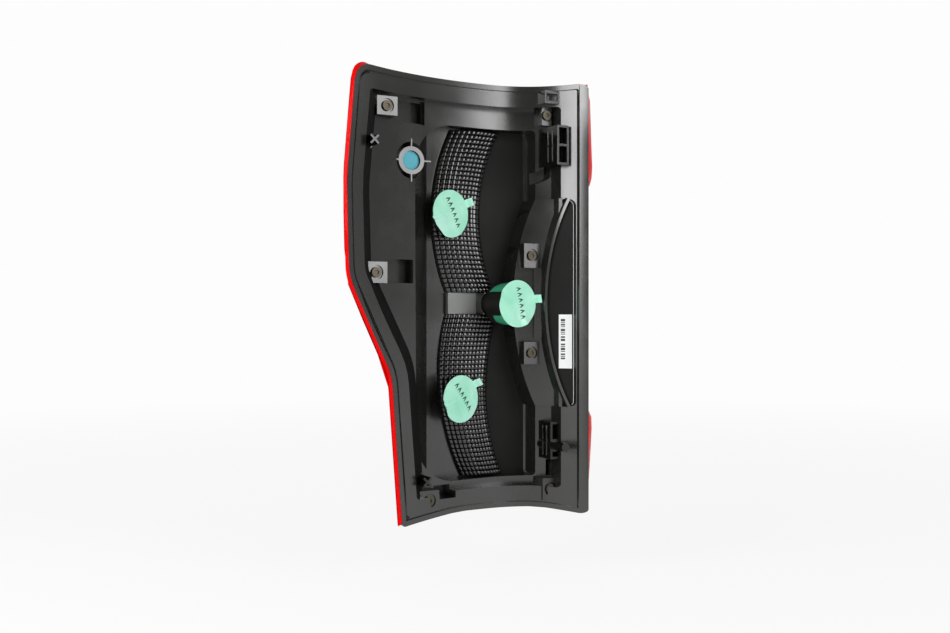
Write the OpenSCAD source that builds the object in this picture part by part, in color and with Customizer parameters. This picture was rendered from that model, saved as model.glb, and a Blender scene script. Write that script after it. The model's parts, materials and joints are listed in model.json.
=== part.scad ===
// Back of a wrap-around rear lamp, as it is seen from the vehicle with the lamp taken off.
// X runs across the lamp, Y from the vehicle out to the lens, Z up.
// The flange lies on two tangent arcs that meet at the crown, at x = 0. A depth is measured
// from that arch towards the lens, and a minus depth stands out towards the vehicle.

/* [Overall] */
// Height of the flange at the middle of its width
lamp_h = 430; // [400:5:450]
// Crown to the flange's side edge, in the upper half
side_reach = 178; // [172:1:190]
// Crown to the flange's side edge, at the foot
foot_reach = 108; // [104:1:116]
// Crown to the flange's rear edge
rear_reach = 81; // [80:0.5:82]
// Height of the waist, where the side edge turns in
waist_z = 17; // [10:1:24]
// Radius of the arch on the side part
side_r = 325; // [310:5:360]
// Radius of the arch on the rear part
rear_r = 90; // [89:0.5:93]

/* [Housing] */
// Wall of the housing
wall = 2.5; // [2:0.1:3]
// Width of the flange along the side, top and foot
flange_w = 21; // [18:0.5:23]
// Width of the flange on the rear edge
rear_flange_w = 15.5; // [14:0.5:17]
// Width of the bead round the flange
bead_w = 5; // [3:0.5:7]
// How far the bead stands out
bead_h = 2; // [1:0.2:3]
// Depth of the tray's floor
floor_d = 14; // [12:0.5:16]
// Depth of the chamber's floor
chamber_d = 32; // [30:0.5:33]
// Corner radius of the chamber
chamber_r = 46; // [30:1:50]
// Height of the strip of floor above and below the chamber
shelf_h = 21; // [18:0.5:24]
// Crown to the chamber's side edge
chamber_side = 84; // [80:0.5:86]
// Crown to the chamber's rear edge
chamber_rear = 52; // [50:0.5:54]
// How far the chamber's side wall leans in
chamber_lean = 24; // [18:0.5:28]

/* [Pod] */
// Height of the raised pod
pod_h = 213; // [200:1:220]
// Height of the pod's middle
pod_z = -5; // [-8:0.5:-2]
// Crown to the pod's side wall at the middle
pod_side = 29; // [28:0.5:31]
// Crown to the pod's rear wall
pod_rear = 75.5; // [74:0.5:76.5]
// Radius of the pod's bowed side wall
pod_r = 283; // [260:1:320]
// Depth of the pod's shelf
pod_d = 10; // [9:0.5:12]
// Crown to the pod's upper step at the middle
step_side = 53; // [51:0.5:55]
// Radius of the upper step's bowed edge
step_r = 338; // [320:1:380]
// Depth of the panel behind the upper step
step_d = 3; // [2:0.5:4]
// Width of the rib along the upper step
step_rib_w = 2; // [1.5:0.1:3]
// How far that rib stands out
step_rib_h = 3; // [1:0.5:4]

/* [Reflectors] */
// Width of a facet
facet_w = 5.2; // [4.5:0.1:6.5]
// Height of a facet
facet_h = 4.8; // [4.4:0.1:7]
// How far a facet's middle stands out
facet_rise = 1; // [0.6:0.1:1.4]
// Wall of a reflector
reflector_t = 2.2; // [1.8:0.1:2.6]
// How far a reflector's middle stands above its edges
reflector_rise = 9; // [6:0.5:10]
// Width of the upper reflector
upper_w = 57; // [55:0.5:60]
// Width of the lower reflector at its top
lower_w = 60; // [58:0.5:62]
// Width of the lower reflector at its foot
lower_foot_w = 47; // [44:0.5:50]
// Radius of the upper reflector's bow
upper_bow_r = 188; // [175:1:220]
// Radius of the lower reflector's bow
lower_bow_r = 240; // [220:1:280]
// Rim of floor that a reflector's edge seats on
seat_rim = 3; // [2:0.5:4]

/* [Bulb sockets] */
// Radius of the bore for a bulb holder
socket_r = 11; // [9:0.5:11.5]
// Wall of a socket's collar
collar_t = 2.4; // [2:0.1:2.6]
// How far the sockets turn towards the rear edge, in degrees
socket_turn = 16; // [12:1:18]
// How far the middle socket turns, in degrees
mid_socket_turn = 10; // [8:0.5:12]
// Length of the upper and lower collars
collar_len = 17; // [15:0.5:17]
// Length of the middle collar
mid_collar_len = 44; // [42:0.5:46]
// Radius of the plate and skirt under a film
cup_r = 21.5; // [19:0.5:22]
// Wall of the plate and skirt
cup_t = 1.6; // [1.4:0.1:2]
// Length of the upper and lower skirts
cup_len = 9; // [6:0.5:10]
// Length of the middle skirt
mid_cup_len = 27; // [20:0.5:28]
// Radius of the film stuck over a socket
film_r = 24; // [20:0.5:25]
// Thickness of the film
film_t = 0.4; // [0.3:0.1:0.6]
// How far off the socket's middle the upper and lower films are stuck
film_shift = 5; // [3:0.5:6]
// Side of a film's pull tab
tab_w = 10; // [8:0.5:11]
// How far the upper and lower pull tabs lift, in degrees
tab_lift = 45; // [35:1:60]
// How far the middle pull tab lifts, in degrees
mid_tab_lift = 74; // [70:1:80]

/* [Lens] */
// Wall of the lens
lens_t = 3; // [2.5:0.1:3.5]
// Depth of the lens's front at the crown
lens_d = 50; // [49:0.5:56]
// How far the lens stands outside the flange's side edge
side_lip = 3; // [2.5:0.5:4.5]
// How far the lens stands outside the flange's rear edge
rear_lip = 2.6; // [2:0.1:2.8]
// Rounding of the lens's top and foot edges
lens_edge_r = 15; // [8:1:20]
// Lean of the lens's side wall from the draw direction, in degrees
side_lean = 25; // [22:1:30]
// Upper edge of the clear window
window_top = 109; // [100:1:116]
// Lower edge of the clear window
window_foot = -115; // [-120:1:-105]
// Crown to the side edge of the clear window
window_side = 12; // [4:1:20]
// How far the red parts swell past the rear edge, at the lens's control points
rear_swell = 29; // [20:1:30]
// Width of the glue bead under the lens
seal_w = 3; // [2:0.5:4]

/* [Fixings] */
// Radius of a case screw's head
head_r = 5; // [4:0.2:5.4]
// Height of a case screw's head
head_h = 2.4; // [2:0.1:3]
// Radius of a case screw's shank
shank_r = 1.9; // [1.5:0.1:2.2]
// Length of a case screw's shank
shank_len = 9; // [7:0.5:10]
// Radius of the ring sunk round a screw
ring_r = 6.9; // [6.4:0.1:7.4]
// Radius of the lower bracket's peg
peg_r = 4.5; // [3.5:0.1:5]
// Length of the lower bracket's peg
peg_len = 21; // [18:0.5:26]
// Length of a locating stud
stud_len = 24; // [18:0.5:28]
// Radius over a locating stud's ribs
stud_r = 5.6; // [5:0.1:6.5]
// Thickness of a locating stud's ribs
stud_rib = 2; // [1.6:0.1:2.6]
// Width of a bracket across the lamp
bracket_w = 14; // [12:0.5:15]
// Wall of a bracket
bracket_t = 2.4; // [2:0.1:3]

/* [Breather] */
// Crown to the breather's middle
vent_side = 88.5; // [86:0.5:92]
// Height of the breather's middle
vent_z = 133.5; // [130:0.5:138]
// Outer radius of the breather's ring
vent_r = 13.7; // [12.5:0.1:14.5]
// Radius of the breather's patch
patch_r = 9.5; // [8:0.1:10.5]
// Radius of the well round the breather
well_r = 18; // [16.5:0.5:19]
// Depth of the well
well_d = 24; // [22:0.5:26]

/* [Label] */
// Width of the label
label_w = 9; // [6:0.5:10]
// Height of the label
label_h = 55; // [40:1:60]
// Thickness of the label
label_t = 0.3; // [0.2:0.1:0.5]

/* [Hidden] */

// Clearance between pieces that seat in or on one another
fit = 0.2;
top_z = lamp_h / 2;
foot_z = -lamp_h / 2;
far = 400;

// Height of a depth's surface in Y, at x
function surf_y(x, d) =
    let (r = x < 0 ? side_r : rear_r) -r + sqrt(max(0, (r + d) * (r + d) - x * x));

function unit(v) = v / norm(v);
function turned(v, a) = [v.x * cos(a) - v.y * sin(a), v.x * sin(a) + v.y * cos(a)];

// Points of corner b, rounded to radius r, between its neighbours a and c
function rounded(a, b, c, r) =
    let (u = unit(a - b), v = unit(c - b), half = acos(u * v) / 2, turn = 180 - 2 * half,
        middle = b + unit(u + v) * r / sin(half), start = b + u * r / tan(half) - middle,
        way = sign(cross(u, v)), steps = ceil(turn / 9))
    [for (i = [0:steps]) middle + turned(start, -way * turn * i / steps)];

// An outline from corners of the form [x, z, radius]
function outline(corners) =
    let (n = len(corners), at = [for (c = corners) [c.x, c.y]])
    [for (i = [0:n - 1]) each rounded(at[(i + n - 1) % n], at[i], at[(i + 1) % n], corners[i][2])];

// The same corners, moved in by d along both edges. The corners run anticlockwise.
function inset(corners, d) =
    let (n = len(corners), at = [for (c = corners) [c.x, c.y]])
    [for (i = [0:n - 1])
        let (e = unit(at[i] - at[(i + n - 1) % n]), f = unit(at[(i + 1) % n] - at[i]),
            p = [-e.y, e.x], q = [-f.y, f.x], moved = at[i] + (p + q) * d / (1 + p * q),
            r = corners[i][2] - sign(cross(e, f)) * d)
        [moved.x, moved.y, max(0.4, r)]];

// Corners of the flange, seen from the vehicle
flange_corners = [
    [-side_reach + 12, top_z - 2, 20],
    [-side_reach, waist_z + 88, 150],
    [-side_reach + 3, waist_z, 45],
    [-foot_reach - 13, waist_z - 92, 50],
    [-foot_reach, foot_z - 6, 4],
    [-40, foot_z + 1.5, 150],
    [rear_reach - 36, foot_z + 1.5, 100],
    [rear_reach, foot_z - 4, 5],
    [rear_reach, top_z + 1, 7]];
tray_corners = [for (c = inset(flange_corners, flange_w))
    [c.x > rear_reach / 2 + 10 ? rear_reach - rear_flange_w : c.x, c.y, max(c[2], 4)]];
chamber_top = top_z - flange_w - shelf_h;
chamber_foot = foot_z + flange_w + shelf_h - 13;
chamber_corners = [
    [-chamber_side, chamber_top, chamber_r],
    [-chamber_side + 2, chamber_foot, chamber_r],
    [chamber_rear, chamber_foot + 2, 4],
    [chamber_rear, chamber_top, 4]];

// Pockets beside the screw pads and brackets, as [side x, rear x, foot z, top z, depth]
pocket_d = 25;
pockets = [
    [-side_reach + 39.5, -72, top_z - 45.5, top_z - 22.5, floor_d + 4],
    [-side_reach + 67, -73.5, top_z - 44, top_z - 24, pocket_d],
    [-side_reach + 57, -86, waist_z - 4, waist_z + 19, pocket_d],
    [-foot_reach + 46.5, -foot_reach + 66, foot_z + 15.5, foot_z + 27, 22],
    [63, rear_reach - rear_flange_w - 0.1, top_z - 39.5, top_z - 23, 22],
    [61, rear_reach - rear_flange_w - 0.1, foot_z + 31, foot_z + 48, pocket_d]];
// The notch between the pod and the upper bracket, as corners of an outline
notch_corners = [[50, 116, 3], [62, 122, 3], [65, 125, 1.5], [65.4, 137, 1.5], [50, 129, 1]];

// Screw pads, as [x, z, width, height, depth of the face, depth of the base]
pads = [
    [-side_reach + 54.5, top_z - 34.5, 21, 18, 4, floor_d + 4],
    [-side_reach + 41, waist_z + 5, 22, 20, 4, floor_d],
    [-foot_reach + 35, foot_z + 15, 21, 20, 1, floor_d],
    [56.8, top_z - 28, 12, 21, 4, floor_d],
    [44, pod_z + 48, 19, 25, 4, pod_d],
    [43.5, pod_z - 52, 18, 23, 4, pod_d],
    [59, foot_z + 19, 18, 22, 3, floor_d]];
function pad_y(p) = surf_y(p.x, p[4]) + ring_sink;
ring_sink = 1.6;

// Middle of each socket's mouth, as [x, depth, z, turn]
upper_mouth = [-36, 15, 84, socket_turn];
lower_mouth = [-24, 15, -103, socket_turn];
centre_mouth = [24.3, -7, -6.5, mid_socket_turn];
collar_r = socket_r + collar_t;

stud_places = [[-side_reach + 32, top_z - 71], [-foot_reach + 27, foot_z + 35.5]];
stud_disc_r = 18;
bracket_x = 62;

// The brackets lie between the pod's ends and the screw pads beyond them
upper_room = top_z - 38.5 - pod_z - pod_h / 2;
lower_room = pod_z - pod_h / 2 - foot_z - 30;
upper_bracket_z = pod_z + pod_h / 2 + 0.7 * upper_room;
lower_bracket_z = pod_z - pod_h / 2 - 0.47 * lower_room;
upper_bracket_h = 0.533 * upper_room;
lower_bracket_h = 0.517 * lower_room;
peg_z = round(lower_bracket_z - 5);
peg_x = 60;
peg_face_y = surf_y(peg_x, 0) - 2;

// Everything on the vehicle's side of a depth's surface
module under(d) {
    translate([0, 0, -far]) linear_extrude(2 * far) {
        intersection() {
            translate([0, -side_r]) circle(r = side_r + d, $fn = 360);
            translate([-far, -100]) square([far, 200]);
        }
        intersection() {
            translate([0, -rear_r]) circle(r = rear_r + d, $fn = 180);
            translate([0, -rear_r]) square([far, 200]);
        }
    }
}

// The space over the flange and in the tray, down to their faces
module over_tray() {
    under(0);
    intersection() {
        drawn(outline(tray_corners));
        under(floor_d);
    }
}

// An outline seen from the vehicle, drawn out along Y
module drawn(points) {
    translate([0, far, 0]) rotate([90, 0, 0]) linear_extrude(2 * far) polygon(points);
}

// What lies between two depths, inside an outline
module layer(points, near, deep) {
    intersection() {
        drawn(points);
        difference() {
            under(deep);
            under(near);
        }
    }
}

module box_between(x0, x1, y0, y1, z0, z1) {
    translate([x0, y0, z0]) cube([x1 - x0, y1 - y0, z1 - z0]);
}

// Everything to the rear of the chamber's leaning side wall, moved out by grow
module past_lean(grow) {
    foot_y = surf_y(-chamber_side, floor_d);
    head_y = surf_y(-chamber_side + chamber_lean, chamber_d);
    run = unit([chamber_lean, head_y - foot_y]);
    start = [-chamber_side, foot_y] + grow * [-run.y, run.x];
    translate([0, 0, -far]) linear_extrude(2 * far)
        polygon([start - 80 * run, start + 80 * run, [far, 80], [far, -100]]);
}

module chamber(grow) {
    intersection() {
        drawn(outline(inset(chamber_corners, -grow)));
        under(chamber_d + grow);
        past_lean(grow);
    }
}

module pocket(p, grow) {
    intersection() {
        box_between(p[0] - grow, p[1] + grow, -100, 80, p[2] - grow, p[3] + grow);
        under(p[4] + grow);
    }
}

module notch(grow) {
    intersection() {
        drawn(outline(inset(notch_corners, -grow)));
        under(pocket_d + grow);
    }
}

module well(grow) {
    intersection() {
        translate([-vent_side, 80, vent_z]) rotate([90, 0, 0])
            cylinder(r = well_r + grow, h = 180, $fn = 64);
        under(well_d + grow);
    }
}

// The pod's outline, moved in by d: a rounded box cut by the bowed side wall
module pod_outline(side, bow_r, d) {
    intersection() {
        drawn(outline(inset([
            [side - 2, pod_z + pod_h / 2, 1 + wall],
            [side - 2, pod_z - pod_h / 2, 1 + wall],
            [pod_rear, pod_z - pod_h / 2, 3 + wall],
            [pod_rear, pod_z + pod_h / 2, 6 + wall]], d)));
        translate([side + bow_r, far, pod_z]) rotate([90, 0, 0])
            cylinder(r = bow_r - d, h = 2 * far, $fn = 360);
    }
}

module pod_shell() {
    intersection() {
        pod_outline(pod_side, pod_r, 0);
        difference() {
            under(chamber_d + wall);
            under(pod_d);
        }
    }
    intersection() {
        pod_outline(step_side, step_r, 0);
        difference() {
            under(chamber_d + wall);
            under(step_d);
        }
    }
    difference() {
        intersection() {
            pod_outline(step_side, step_r, 0);
            difference() {
                under(step_d + wall);
                under(step_d - step_rib_h);
            }
        }
        translate([step_side + step_r, far, pod_z]) rotate([90, 0, 0])
            cylinder(r = step_r - step_rib_w, h = 2 * far, $fn = 360);
    }
}

module pod_hollow() {
    intersection() {
        pod_outline(pod_side, pod_r, wall);
        difference() {
            under(chamber_d + 30);
            under(pod_d + wall);
        }
    }
    intersection() {
        pod_outline(step_side, step_r, wall);
        difference() {
            under(chamber_d + 30);
            under(step_d + wall);
        }
    }
}

// A screw pad stands on the floor behind it, and ends at the tray's wall below the flange
module pad_block(p) {
    intersection() {
        box_between(p.x - p[2] / 2, p.x + p[2] / 2, surf_y(p.x, p[4]), 80,
            p.y - p[3] / 2, p.y + p[3] / 2);
        under(p[5] + wall / 2);
        union() {
            under(wall / 2);
            drawn(outline(inset(tray_corners, -wall)));
        }
    }
}

module along_y(x, y, z, r, h) {
    translate([x, y, z]) rotate([-90, 0, 0]) cylinder(r = r, h = h, $fn = 48);
}

module pad_holes(p) {
    along_y(p.x, surf_y(p.x, p[4]) - 1, p.y, ring_r, ring_sink + 1);
    along_y(p.x, surf_y(p.x, p[4]), p.y, shank_r + 0.05, ring_sink + shank_len + 0.5);
}

// What a bored socket's axis passes through, from its mouth inwards
module socket_bore(mouth, r, from, to) {
    translate([mouth.x, surf_y(mouth.x, mouth.y), mouth.z])
        rotate([0, 0, mouth[3]]) rotate([-90, 0, 0])
            translate([0, 0, from]) cylinder(r = r, h = to - from, $fn = 64);
}

// The hole in a reflector that a collar passes through, as a flat-sided prism
module collar_hole(mouth) {
    hull() translate([mouth.x, surf_y(mouth.x, mouth.y), mouth.z])
        rotate([0, 0, mouth[3]]) rotate([-90, 0, 0])
            translate([0, 0, -20]) cylinder(r = collar_r + fit, h = 100, $fn = 36);
}

// The raised ring round the upper stud, and the bridge between the pod's two pads
module raised_parts() {
    difference() {
        intersection() {
            along_y(stud_places[0].x, -100, stud_places[0].y, stud_disc_r, 200);
            drawn(outline(inset(tray_corners, -wall / 2)));
            under(floor_d + wall / 2);
        }
        under(floor_d - 0.5);
        along_y(stud_places[0].x, -100, stud_places[0].y, stud_r + 2.1, 200);
    }
    difference() {
        box_between(47, 54, -60, surf_y(54, pod_d) + 2, pod_z - 37, pod_z + 35);
        under(pod_d - 3);
    }
}

module breather_tower() {
    y = surf_y(-vent_side, floor_d) - 1;
    along_y(-vent_side, y, vent_z, vent_r, well_d - floor_d + 2);
    intersection() {
        for (a = [0, 90])
            translate([-vent_side, y + 20, vent_z]) rotate([0, a, 0])
                cube([2 * well_r + 6, 40, 1.4], center = true);
        under(well_d + wall / 2);
    }
}

module housing() {
    color([0.16, 0.165, 0.16]) difference() {
        union() {
            difference() {
                union() {
                    layer(outline(flange_corners), 0, wall);
                    layer(outline(inset(tray_corners, -wall)), 0, floor_d + wall);
                    chamber(wall);
                    for (p = pockets) pocket(p, wall);
                    notch(wall);
                    well(wall);
                }
                intersection() {
                    drawn(outline(tray_corners));
                    under(floor_d);
                }
                chamber(0);
                for (p = pockets) pocket(p, 0);
                notch(0);
                well(0);
                under(0);
                intersection() {
                    pod_outline(pod_side, pod_r, 0);
                    under(step_d);
                }
            }
            difference() {
                layer(outline(flange_corners), -bead_h, wall);
                drawn(outline(inset(flange_corners, bead_w)));
            }
            pod_shell();
            for (p = pads) pad_block(p);
            raised_parts();
            breather_tower();
        }
        pod_hollow();
        for (p = pads) pad_holes(p);
        reflector_window(upper_strip);
        reflector_window(lower_strip);
        socket_bore(centre_mouth, collar_r + fit, -40, mid_collar_len + 12);
        along_y(-vent_side, -60, vent_z, patch_r + 0.05, 60 + surf_y(-vent_side, floor_d) + 3);
        along_y(-vent_side, -60, vent_z, patch_r - 3, 120);
    }
}

// A reflector is a bowed strip of facets, as
// [foot z, top z, x of the bow's middle, z of the bow's middle, bow radius, foot w, top w]
upper_strip = [5, chamber_top - 1, -26.3, 83, upper_bow_r, upper_w, upper_w];
lower_strip = [chamber_foot + 3, -17, -18, -84, lower_bow_r, lower_foot_w, lower_w];

function strip_mid(s, z) = s[2] + s[4] - sqrt(s[4] * s[4] - (z - s[3]) * (z - s[3]));
function strip_w(s, z) = s[5] + (s[6] - s[5]) * min(1, (z - s[0]) / (0.75 * (s[1] - s[0])));
// A point of the strip: u runs from -1 at its side edge to 1, rise stands out from its face
function strip_point(s, u, z, rise) =
    let (x = strip_mid(s, z) + u * strip_w(s, z) / 2)
    [x, surf_y(x, chamber_d - reflector_t - reflector_rise * (1 - u * u)) - rise, z];

// The strip's outline, narrowed by d on each side, for the window behind it
function strip_outline(s, d) =
    let (steps = 12, low = s[0] + d, high = s[1] - d,
        heights = [for (i = [0:steps]) low + (high - low) * i / steps])
    concat([for (z = heights) [strip_mid(s, z) + strip_w(s, z) / 2 - d, z]],
        [for (i = [steps:-1:0]) let (z = heights[i]) [strip_mid(s, z) - strip_w(s, z) / 2 + d, z]]);

module reflector_window(s) {
    intersection() {
        drawn(strip_outline(s, seat_rim));
        difference() {
            under(chamber_d + 30);
            under(chamber_d - 1);
        }
    }
}

module facet_strip(s) {
    cols = round(s[6] / facet_w);
    rows = round((s[1] - s[0]) / facet_h);
    function z_of(j) = s[0] + (s[1] - s[0]) * j / rows;
    corners = [for (j = [0:rows]) for (i = [0:cols])
        strip_point(s, -1 + 2 * i / cols, z_of(j), 0)];
    middles = [for (j = [0:rows - 1]) for (i = [0:cols - 1])
        strip_point(s, -1 + (2 * i + 1) / cols, z_of(j + 0.5), facet_rise)];
    behind = [for (j = [0:rows]) for (i = [0:cols])
        strip_point(s, -1 + 2 * i / cols, z_of(j), -reflector_t)];
    a = len(corners);
    b = a + len(middles);
    function c(i, j) = j * (cols + 1) + i;
    function m(i, j) = a + j * cols + i;
    function h(i, j) = b + j * (cols + 1) + i;
    polyhedron(points = concat(corners, middles, behind), faces = concat(
        [for (j = [0:rows - 1]) for (i = [0:cols - 1]) each [
            [c(i, j), m(i, j), c(i + 1, j)],
            [c(i + 1, j), m(i, j), c(i + 1, j + 1)],
            [c(i + 1, j + 1), m(i, j), c(i, j + 1)],
            [c(i, j + 1), m(i, j), c(i, j)]]],
        [for (j = [0:rows - 1]) for (i = [0:cols - 1]) each [
            [h(i, j), h(i + 1, j), h(i + 1, j + 1)],
            [h(i, j), h(i + 1, j + 1), h(i, j + 1)]]],
        [for (j = [0:rows - 1]) each [
            [c(0, j), h(0, j), h(0, j + 1)],
            [c(0, j), h(0, j + 1), c(0, j + 1)],
            [c(cols, j), h(cols, j + 1), h(cols, j)],
            [c(cols, j), c(cols, j + 1), h(cols, j + 1)]]],
        [for (i = [0:cols - 1]) each [
            [c(i, 0), c(i + 1, 0), h(i + 1, 0), h(i, 0)],
            [c(i + 1, rows), c(i, rows), h(i, rows), h(i + 1, rows)]]]));
}

module upper_reflector() {
    color([0.1, 0.1, 0.1]) difference() {
        facet_strip(upper_strip);
        collar_hole(upper_mouth);
        collar_hole(centre_mouth);
    }
}

module lower_reflector() {
    color([0.1, 0.1, 0.1]) difference() {
        facet_strip(lower_strip);
        collar_hole(lower_mouth);
        collar_hole(centre_mouth);
    }
}

module centre_reflector() {
    z0 = lower_strip[1] + fit;
    z1 = upper_strip[0] - fit;
    color([0.45, 0.46, 0.45]) difference() {
        intersection() {
            union() {
                box_between(-37, -5, surf_y(-21, chamber_d) - 7, 80, z0, z1);
                box_between(-5, 8, surf_y(0, chamber_d) - 3, 80, z0, z1);
            }
            under(chamber_d);
        }
        socket_bore(centre_mouth, collar_r + fit, -20, 80);
    }
}

// What lies behind a strip's face, and 1.2 mm in front of it, near height z
module behind_strip(s, z) {
    face = [for (i = [-8:8]) let (p = strip_point(s, i / 6, z, facet_rise + 1.2)) [p.x, p.y]];
    translate([0, 0, z - 40]) linear_extrude(80)
        polygon(concat(face, [[face[16].x, 90], [face[0].x, 90]]));
}

// A socket's collar, with the round plate and the skirt that its film is stuck to.
// The children are cut from the plate and the skirt.
module socket(mouth, length, skirt) {
    color([0.13, 0.13, 0.13]) difference() {
        union() {
            socket_bore(mouth, collar_r, 0, length);
            difference() {
                socket_bore(mouth, cup_r, 0, skirt);
                socket_bore(mouth, cup_r - cup_t, cup_t, skirt + 1);
                children();
            }
        }
        socket_bore(mouth, socket_r, -1, length + 1);
    }
}

module upper_socket() {
    socket(upper_mouth, collar_len, cup_len) behind_strip(upper_strip, upper_mouth.z);
}

module centre_socket() {
    socket(centre_mouth, mid_collar_len, mid_cup_len) difference() {
        pod_outline(pod_side, pod_r, -fit);
        under(pod_d - fit);
    }
}

module lower_socket() {
    socket(lower_mouth, collar_len, cup_len) behind_strip(lower_strip, lower_mouth.z);
}

// A film disc on the mouth of a socket, with a pull tab that lifts from its edge
module film(mouth, shift, tab_at, lift) {
    color([0.65, 0.94, 0.81])
        translate([mouth.x, surf_y(mouth.x, mouth.y), mouth.z]) rotate([0, 0, mouth[3]])
            rotate([90, 0, 0]) translate([-shift, 0, 0]) {
                cylinder(r = film_r, h = film_t, $fn = 72);
                rotate(tab_at) translate([film_r - 0.6, -tab_w / 2, 0]) rotate([0, -lift, 0])
                    cube([tab_w, tab_w, film_t]);
            }
}

module upper_film() { film(upper_mouth, film_shift, 35, tab_lift); }
module centre_film() { film(centre_mouth, 0, 10, mid_tab_lift); }
module lower_film() { film(lower_mouth, film_shift, 50, tab_lift); }

module breather_patch() {
    color([0.39, 0.74, 0.8])
        along_y(-vent_side, surf_y(-vent_side, floor_d) + 1.8, vent_z, patch_r, 1.2);
}

module case_screw(p) {
    y = pad_y(p);
    difference() {
        union() {
            along_y(p.x, y - head_h, p.y, head_r, head_h);
            along_y(p.x, y, p.y, shank_r, shank_len);
        }
        translate([p.x, y - head_h - 1, p.y]) rotate([-90, 0, 0])
            cylinder(r = head_r * 0.45, h = 2.2, $fn = 6);
    }
}

module case_screws() {
    color([0.47, 0.45, 0.4]) for (p = pads) case_screw(p);
}

// A box of walls that stands on the floor beside the rear flange, open to the vehicle
module bracket_frame(z, h, face_y) {
    difference() {
        box_between(bracket_x - bracket_w / 2, bracket_x + bracket_w / 2, face_y, 80,
            z - h / 2, z + h / 2);
        box_between(bracket_x - bracket_w / 2 + bracket_t, bracket_x + bracket_w / 2 - bracket_t,
            face_y - 1, face_y + 14, z + bracket_t / 2, z + h / 2 - bracket_t);
        box_between(bracket_x - bracket_w / 2 + bracket_t, bracket_x + bracket_w / 2 - bracket_t,
            face_y - 1, face_y + 14, z - h / 2 + bracket_t, z - bracket_t / 2);
    }
}

module upper_bracket() {
    color([0.08, 0.08, 0.08]) intersection() {
        bracket_frame(upper_bracket_z, upper_bracket_h, surf_y(bracket_x, 0) - 13);
        over_tray();
    }
}

module lower_bracket() {
    color([0.08, 0.08, 0.08]) {
        intersection() {
            union() {
                bracket_frame(lower_bracket_z, lower_bracket_h, peg_face_y);
                along_y(peg_x, peg_face_y, peg_z, peg_r + 2, 60);
            }
            over_tray();
        }
        along_y(peg_x, peg_face_y - peg_len, peg_z, peg_r, peg_len + 1);
    }
}

module stud(place) {
    y = surf_y(place.x, floor_d);
    color([0.1, 0.1, 0.1]) intersection() {
        union() {
            for (a = [45, 135])
                translate([place.x, y + 5, place.y]) rotate([90, 0, 0]) rotate(a)
                    translate([-stud_r, -stud_rib / 2, 0]) cube([2 * stud_r, stud_rib, stud_len + 5]);
            along_y(place.x, y - 2, place.y, stud_r + 2, 10);
        }
        over_tray();
    }
}

module upper_stud() { stud(stud_places[0]); }
module lower_stud() { stud(stud_places[1]); }

module corner_clip() {
    x = 58;
    color([0.12, 0.12, 0.12]) intersection() {
        difference() {
            box_between(x - 11, x + 7, surf_y(x, 0) - 6, 80, top_z - 18, top_z - 5);
            box_between(x - 9, x + 4, surf_y(x, 0) - 7, surf_y(x, 0) + 1, top_z - 15, top_z - 8);
        }
        under(0);
    }
}

// A curve of the third degree through its two end points
function bezier(p, t) =
    pow(1 - t, 3) * p[0] + 3 * t * pow(1 - t, 2) * p[1] + 3 * t * t * (1 - t) * p[2]
    + pow(t, 3) * p[3];

// The flange's side edge and foot edge, as tables that lookup() reads
flange_line = outline(flange_corners);
side_table = [for (i = [len(flange_line) - 1:-1:0]) let (p = flange_line[i])
    if (p.x < -foot_reach + 4 && p.y < top_z - 2.5 && p.y > foot_z - 4) [p.y, p.x]];
foot_table = [for (p = flange_line) if (p.y < foot_z + 4 && p.x > -foot_reach + 2) [p.x, p.y]];

// Height of the flange's top edge at x
function top_edge(x) =
    let (a = flange_corners[0], b = flange_corners[8]) a.y + (b.y - a.y) * (x - a.x) / (b.x - a.x);

// Rows of the lens from foot to top: [share of the height, millimetres above that,
// share of the full depth]. The first and the last row lie on the flange.
function row_keep(h) = 1 - (lens_edge_r - sqrt(h * (2 * lens_edge_r - h))) / lens_d;
edge_steps = [0, 0.05, 0.18, 0.4, 0.7, 1];
function share(z) = (z - foot_z) / lamp_h;
lens_rows = concat([[0, 0, 0]],
    [for (e = edge_steps) [0, e * lens_edge_r, row_keep(e * lens_edge_r)]],
    [for (i = [1:3]) [share(foot_z + 15 + (window_foot - foot_z - 15) * i / 4), 0, 1]],
    [for (i = [9, 4, 0]) [share(window_foot - i), 0, 1]],
    [for (i = [1:7]) [share(window_foot + (window_top - window_foot) * i / 7), 0, 1]],
    [for (i = [4, 11]) [share(window_top + i), 0, 1]],
    [for (i = [1:3]) [share(window_top + (top_z - 15 - window_top) * i / 4), 0, 1]],
    [for (i = [5:-1:0]) let (h = edge_steps[i] * lens_edge_r) [1, -h, row_keep(h)]],
    [[1, 0, 0]]);
window_row = len(edge_steps) + 6;
window_rows = 7;
side_cols = 12;
rear_cols = 12;

// Share of the swell at the rear edge, at height z: it is least beside the window
function swell(z) =
    z > window_top ? lookup((z - window_top) / (top_z - window_top),
        [[0, 0.45], [0.04, 0.78], [0.11, 0.95], [0.2, 1], [0.43, 0.93], [0.88, 0.8], [1, 0.45]])
    : lookup((window_foot - z) / (window_foot - foot_z),
        [[0, 0.45], [0.04, 0.75], [0.09, 0.92], [0.18, 0.96], [0.5, 0.82], [0.83, 0.65], [1, 0.45]]);

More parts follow.
